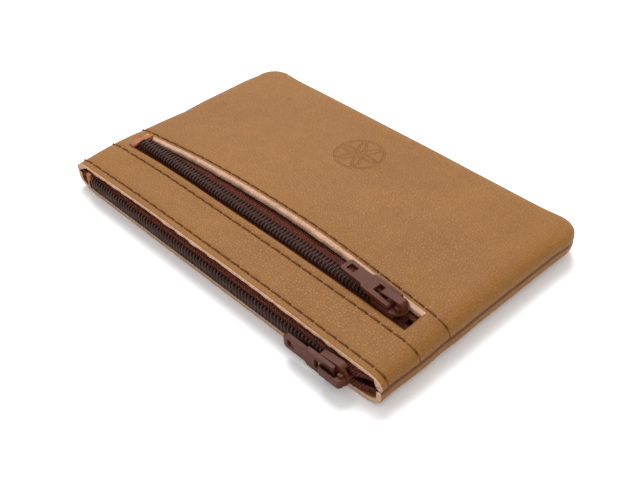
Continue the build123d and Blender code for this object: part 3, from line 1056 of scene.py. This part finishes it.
@dataclass
class Coil:
    """One half of a zip's nylon coil, a helix flattened over its cord."""

    chain: Chain
    side: int
    pitch: float = 1.2 * MM
    wire: float = 0.27 * MM
    head: float = -0.42 * MM
    heel: float = 1.84 * MM
    low: float = 0.5 * MM
    high: float = 1.22 * MM
    cord_at: float = 1.0 * MM
    cord_half: float = 0.72 * MM
    cord_top: float = 0.98 * MM
    cord_thick: float = 0.25 * MM

    def loop(self) -> list[tuple[float, float, float]]:
        """One turn, as share of the pitch, v and w."""
        return [
            (0.00, self.head, self.high - 0.06 * MM),
            (0.13, self.head + 1.0 * MM, self.high + 0.06 * MM),
            (0.27, self.heel - 0.3 * MM, self.high - 0.04 * MM),
            (0.36, self.heel, (self.low + self.high) / 2),
            (0.48, self.heel - 0.25 * MM, self.low),
            (0.62, self.head + 0.9 * MM, self.low),
            (0.76, self.head + 0.05 * MM, self.low + 0.02 * MM),
            (0.90, self.head - 0.12 * MM, (self.low + self.high) / 2),
        ]

    def path(self) -> list[Vector]:
        """Centre line of the half, which is wound the other way from its mate."""
        chain = self.chain
        count = (chain.right - chain.left) / self.pitch
        mate = (count - 0.5) % 1.0
        points = []
        for k in range(int(count) - 1):
            for share, v, w in self.loop():
                x = chain.left + (k + share) * self.pitch
                if self.side > 0:
                    x = chain.left + chain.right - x - mate * self.pitch
                points.append(chain.at(x, self.side * (v + chain.split(x)), w))
        return points

    def build(self) -> None:
        """Makes the coil as a round wire along its path, and its cord."""
        points = self.path()
        data = bpy.data.curves.new("run", "CURVE")
        data.dimensions = "3D"
        data.bevel_depth = self.wire
        data.bevel_resolution = 1
        data.use_fill_caps = True
        spline = data.splines.new("POLY")
        spline.points.add(len(points) - 1)
        for target, point in zip(spline.points, points):
            target.co = (*point, 1.0)
        source = link(bpy.data.objects.new("run", data))
        bpy.context.view_layer.update()
        ready = source.evaluated_get(bpy.context.evaluated_depsgraph_get())
        mesh = bmesh.new()
        mesh.from_mesh(bpy.data.meshes.new_from_object(ready))
        bpy.data.objects.remove(source)
        name, half = self.chain.name, self.chain.half(self.side)
        piece = shape_object(mesh, f"{name}_coil_{half}", ROUND_SMOOTH)
        dress(piece, NYLON)
        self.build_cord()
        settle(piece, "pouch", "coil", f"{name}_zip_coil_{half}")

    def cord_point(self, u: float, v: float) -> Vector:
        """Where a flat point of the cord's top goes."""
        plump = 0.1 * MM * (1 - ((v - self.cord_at) / self.cord_half) ** 2)
        return self.chain.at(u, self.side * (v + self.chain.split(u)), self.cord_top + plump)

    def build_cord(self) -> None:
        """Makes the cord that the coil is wound round, flattened between its strands."""
        chain, half = self.chain, self.chain.half(self.side)
        columns = spaced([chain.left + 1 * MM, chain.right - 1 * MM], [1.0 * MM])
        edges = [self.cord_at - self.cord_half, self.cord_at + self.cord_half]
        mesh = sheet_mesh(columns, spaced(edges, [0.35 * MM]), self.cord_point)
        flip = (self.side > 0) == (chain.name == "main")
        name, node = f"{chain.name}_cord_{half}", f"{chain.name}_zip_core_{half}"
        sheet_piece(mesh, name, self.cord_thick, (CORD,), "core", node, flip=flip)


@dataclass
class FrontTape:
    """Tape of the pocket zip, which lies against the leather's back."""

    chain: Chain
    form: PouchForm
    side: int
    inner: float = 0.35 * MM
    outer: float = 9.3 * MM
    thickness: float = 0.4 * MM
    clear: float = 0.12 * MM

    def place(self, u: float, v: float) -> Vector:
        """Where a flat point goes, v being measured out from the middle line."""
        chain, form = self.chain, self.form
        y = self.side * (v + chain.split(u) * smoothstep(3 * MM, 0.0, v))
        point = chain.at(u, y, self.thickness / 2)
        sag = ripple(u * 90, v * 160, 1.7 * self.side, 0.12 * MM)
        point.z += sag * smoothstep(2.2 * MM, 4 * MM, v)
        ceiling = form.place(form.flat_u(point.x), point.y, Side.FRONT).z - form.leather
        point.z = min(point.z, ceiling - self.clear)
        return point

    def build(self) -> None:
        """Makes the tape."""
        half = self.chain.half(self.side)
        node = f"front_zip_tape_{half}"
        low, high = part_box(node)
        columns = spaced([low.x, high.x], [1.0 * MM])
        rows = spaced([self.inner, 3 * MM, self.outer], [0.5 * MM, 0.9 * MM])
        mesh = sheet_mesh(columns, rows, self.place)
        name, flip = f"front_tape_{half}", self.side < 0
        sheet_piece(mesh, name, self.thickness, (TAPE,), "tape", node, flip=flip)


@dataclass
class MainTape:
    """Tape of the mouth zip: it stands beside the coil and turns in against the leather."""

    chain: Chain
    form: PouchForm
    side: int
    inner: float = 0.35 * MM
    bend: float = 0.9 * MM
    length: float = 12.5 * MM
    thickness: float = 0.4 * MM
    reach: float = 58.0 * MM
    sink: float = 0.35 * MM
    slump: float = 1.6 * MM

    def leather_w(self, x: float) -> float:
        """Distance from the chain's middle line to the inside of the leather at x."""
        form, z = self.form, self.chain.origin.z
        if self.side > 0:
            top = form.place(form.flat_u(x), form.mouth + 1.5 * MM, Side.FRONT).z
            return top - form.leather - z - 0.45 * MM
        floor = form.place(form.flat_u(x), form.mouth + 1 * MM, Side.BACK).z
        return z - floor - form.leather - 0.3 * MM

    def place(self, u: float, v: float) -> Vector:
        """Where a flat point goes, v being measured along the tape from its inner edge."""
        chain, middle = self.chain, self.thickness / 2
        edge = self.leather_w(u)
        start = self.inner + chain.split(u)
        flare = smoothstep(51.5 * MM, 56.5 * MM, u)
        start += flare * max(0.0, edge - 1.6 * MM - start)
        straight = max(0.0, edge - self.bend - start)
        turn = self.bend * math.pi / 2
        back = self.slump * flare * smoothstep(4 * MM, 0.0, v)
        if v < straight:
            sag = self.sink * math.sin(math.pi * min(1.0, v / max(straight, 1e-6))) * (1 - flare)
            bulge = ripple(u * 150, v * 200, 4.0, 0.1 * MM) - sag
            return chain.at(u, self.side * (start + v), middle + bulge - back)
        if v < straight + turn:
            angle = (v - straight) / self.bend
            across = start + straight + self.bend * math.sin(angle)
            depth = self.bend * (1 - math.cos(angle))
            return chain.at(u, self.side * across, middle - depth - back)
        depth = self.bend + (v - straight - turn)
        return chain.at(u, self.side * max(0.2 * MM, edge), middle - depth - back * 0.5)

    def build(self) -> None:
        half = self.chain.half(self.side)
        columns = spaced([-self.reach, self.reach], [0.9 * MM])
        rows = spaced([0.0, 5 * MM, self.length], [0.4 * MM, 0.9 * MM])
        mesh = sheet_mesh(columns, rows, self.place)
        name, node = f"main_tape_{half}", f"main_zip_tape_{half}"
        piece = sheet_piece(
            mesh, name, self.thickness, (TAPE,), "tape", node, flip=self.side > 0
        )


@dataclass
class Casting:
    """A piece of a slider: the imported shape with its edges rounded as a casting's are."""

    node: str
    body: str
    slot: str
    finish: bpy.types.Material
    edge: float = 0.12 * MM
    segments: int = 2
    sharpest: float = 38.0

    def build(self) -> None:
        """Makes the rounded copy."""
        mesh = bmesh.new()
        mesh.from_mesh(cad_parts[self.node].data)
        bmesh.ops.remove_doubles(mesh, verts=mesh.verts, dist=1e-6)
        flattest = math.radians(1.0)
        bmesh.ops.dissolve_limit(mesh, angle_limit=flattest, verts=mesh.verts, edges=mesh.edges)
        piece = shape_object(mesh, f"{self.node}_cast", 35.0)
        bevel = piece.modifiers.new("edges", "BEVEL")
        bevel.width = self.edge
        bevel.segments = self.segments
        bevel.limit_method = "ANGLE"
        bevel.angle_limit = math.radians(self.sharpest)
        bevel.harden_normals = True
        dress(piece, self.finish)
        settle(piece, self.body, self.slot, self.node)


@dataclass
class EndTab:
    """Scrap of leather sewn across the closed end of a zip."""

    chain: Chain
    softness: float = 0.35
    crumple: float = 0.1 * MM

    def build(self) -> None:
        """Makes the tab as a soft, slightly cupped block."""
        node = f"{self.chain.name}_zip_end_tab"
        low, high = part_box(node)
        mesh = bmesh.new()
        matrix = Matrix.Translation((low + high) / 2) @ Matrix.Diagonal((*(high - low), 1.0))
        bmesh.ops.create_cube(mesh, size=1.0, matrix=matrix)
        bmesh.ops.subdivide_edges(mesh, edges=mesh.edges, cuts=5, use_grid_fill=True)
        axes = {f"use_axis_{axis}": True for axis in "xyz"}
        bmesh.ops.smooth_vert(mesh, verts=mesh.verts, factor=self.softness, **axes)
        for vert in mesh.verts:
            vert.co += noise.noise_vector(vert.co * 500) * self.crumple
        piece = shape_object(mesh, f"{node}_leather", ROUND_SMOOTH)
        dress(piece, TAB)
        settle(piece, "pouch", "tab_leather", node)


@dataclass
class Divider:
    """Cloth wall between the two pockets."""

    form: PouchForm
    inset: float = 3 * MM
    far_inset: float = 4 * MM
    corner: float = 6 * MM
    rise: float = 1.5 * MM
    mouth_rise: float = 0.9 * MM
    thickness: float = 0.45 * MM
    wave: float = 0.25 * MM

    def place(self, u: float, v: float) -> Vector:
        """Where a flat point goes: level across the middle and down to the seam at its edges."""
        form = self.form
        room = min(form.half_length - 2 * MM - abs(u), form.far - 2 * MM - v)
        lift = smoothstep(0.0, 11 * MM, room)
        front = smoothstep(form.mouth + 9 * MM, form.mouth + 3 * MM, v)
        rise = self.rise + self.mouth_rise * front + ripple(u * 60, v * 60, 9.0, self.wave)
        return Vector((u, v, form.seam + rise * lift))

    def outside(self, u: float, v: float) -> bool:
        """Whether a flat point lies beyond the rounded far corners."""
        dx = abs(u) - (self.form.half_length - self.inset - self.corner)
        dy = v - (self.form.far - self.far_inset - self.corner)
        return dx > 0 and dy > 0 and math.hypot(dx, dy) > self.corner

    def build(self) -> None:
        form = self.form
        edge = form.half_length - self.inset
        low, high = form.mouth + 2 * MM, form.far - self.far_inset
        columns, rows = spaced([-edge, edge], [2 * MM]), spaced([low, high], [2 * MM])
        mesh = sheet_mesh(columns, rows, self.place, self.outside)
        finish = (LINING,)
        piece = sheet_piece(mesh, "divider_cloth", self.thickness, finish, "lining", "divider")


# ---------------------------------------------------------------- studio


@dataclass
class Studio:
    """Pale floor, soft lights and the camera."""

    azimuth: float = 48.44
    elevation: float = 40.29
    roll: float = -3.0
    focal: float = 962.3
    aim: tuple[float, float, float] = (7.93 * MM, -6.59 * MM, 0.0)
    distance: float = 258.7 * MM
    air: float = 0.7

    def floor(self) -> None:
        """Lays the floor just under the pouch."""
        mesh = bmesh.new()
        bmesh.ops.create_grid(mesh, x_segments=8, y_segments=8, size=3.0)
        for vert in mesh.verts:
            vert.co.z = -0.03 * MM
        piece = shape_object(mesh, "floor")
        graph = Graph("floor_paper")
        fine = graph.noise(graph.place((1.0, 1.0, 1.0)), 4.0, 2.0)
        paper = graph.mix(fine, tone(250, 250, 250), tone(253, 253, 253))
        graph.set(Base_Color=paper, Roughness=0.85)
        graph.set(Specular_IOR_Level=0.1)
        dress(piece, graph.material)

    def light(self, name: str, at: tuple[float, float, float], size: float, power: float) -> None:
        """Hangs a square soft light that faces the pouch.

        Args:
            name: its name.
            at: where it hangs.
            size: its width.
            power: how strong it is, in watts.
        """
        data = bpy.data.lights.new(name, "AREA")
        data.size = size
        data.energy = power
        lamp = link(bpy.data.objects.new(name, data))
        lamp.location = at
        lamp.rotation_euler = (-Vector(at)).to_track_quat("-Z", "Y").to_euler()

    def world(self) -> None:
        """Lights everything evenly with white."""
        world = bpy.data.worlds.new("studio_air")
        bpy.context.scene.world = world
        world.use_nodes = True
        inputs = world.node_tree.nodes["Background"].inputs
        inputs[0].default_value = (1.0, 1.0, 1.0, 1.0)
        inputs[1].default_value = self.air

    def camera(self) -> None:
        """Sets up the camera."""
        az, el, roll = (math.radians(a) for a in (self.azimuth, self.elevation, self.roll))
        back = Vector((math.sin(az) * math.cos(el), -math.cos(az) * math.cos(el), math.sin(el)))
        right = (-back).cross(Vector((0, 0, 1))).normalized()
        up = right.cross(-back)
        cos, sin = math.cos(roll), math.sin(roll)
        right, up = right * cos + up * sin, up * cos - right * sin
        data = bpy.data.cameras.new("camera")
        data.sensor_width = SENSOR_WIDTH
        data.lens = self.focal / PICTURE_WIDTH * SENSOR_WIDTH
        data.clip_start = 0.01
        lens = link(bpy.data.objects.new("camera", data))
        turn = Matrix((right, up, back)).transposed().to_4x4()
        lens.matrix_world = Matrix.Translation(Vector(self.aim) + back * self.distance) @ turn
        bpy.context.scene.camera = lens

    def build(self) -> None:
        """Sets the whole studio."""
        self.floor()
        self.light("key", (-0.35, 0.3, 0.75), 0.5, 8.5)
        self.light("fill", (0.6, -0.5, 0.6), 0.9, 3.0)
        self.world()
        self.camera()
        bpy.context.scene.view_settings.view_transform = "Standard"


# ---------------------------------------------------------------- shared finishes and the order


RAW_EDGE = RawEdge().material()
THREAD = Thread().material()
# Painted shade: the dark spots that stand for the shade inside the needle holes.
HOLE_SHADE = Plain("needle_hole_shade", tone(96, 60, 30), tone(58, 34, 16)).material()
NYLON = Nylon().material()
TAPE = Twill("zip_tape").material()
CORD = Plain("zip_cord", tone(40, 22, 17), tone(20, 10, 8), 3.0, 0.95).material()
LINING = Plain("lining", tone(52, 34, 26), tone(30, 18, 13), 3.0, 0.95).material()
TAB = Plain("tab_leather", tone(176, 108, 66), tone(128, 70, 40), 0.9, 0.6).material()
ENAMEL = Enamel().material()
SPRING = Plain("spring_steel", tone(62, 38, 28), tone(42, 24, 18), 1.5, 0.45, 0.3).material()


def dress_left_over() -> None:
    """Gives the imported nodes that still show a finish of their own."""
    for name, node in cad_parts.items():
        if node.hide_render:
            continue
        finish = THREAD if "stitches" in name else SPRING if "spring" in name else LINING
        node.data.materials.clear()
        dress(node, finish)
        LOG.info("%s: packed shape kept", name)


def main() -> None:
    """Builds every piece in order."""
    logging.basicConfig(level=logging.INFO, format="%(name)s %(message)s")
    noise.seed_set(NOISE_SEED)
    form = PouchForm.from_frame()
    Studio().build()
    LeatherPanel(form, Side.BACK).build()
    LeatherPanel(form, Side.FRONT).build()
    FrontStitching(form).build()
    Divider(form).build()
    for chain, tape in ((Chain.main(), MainTape), (Chain.front(), FrontTape)):
        for side in (1, -1):
            Coil(chain, side).build()
            tape(chain, form, side).build()
        EndTab(chain).build()
        for part in ("slider_body", "slider_bonnet"):
            Casting(f"{chain.name}_{part}", f"{chain.name}_slider", "slider", ENAMEL).build()
        Casting(f"{chain.name}_pull_tab", f"{chain.name}_pull", "slider", ENAMEL, 0.16 * MM).build()
    dress_left_over()


if __name__ == "__main__":
    main()
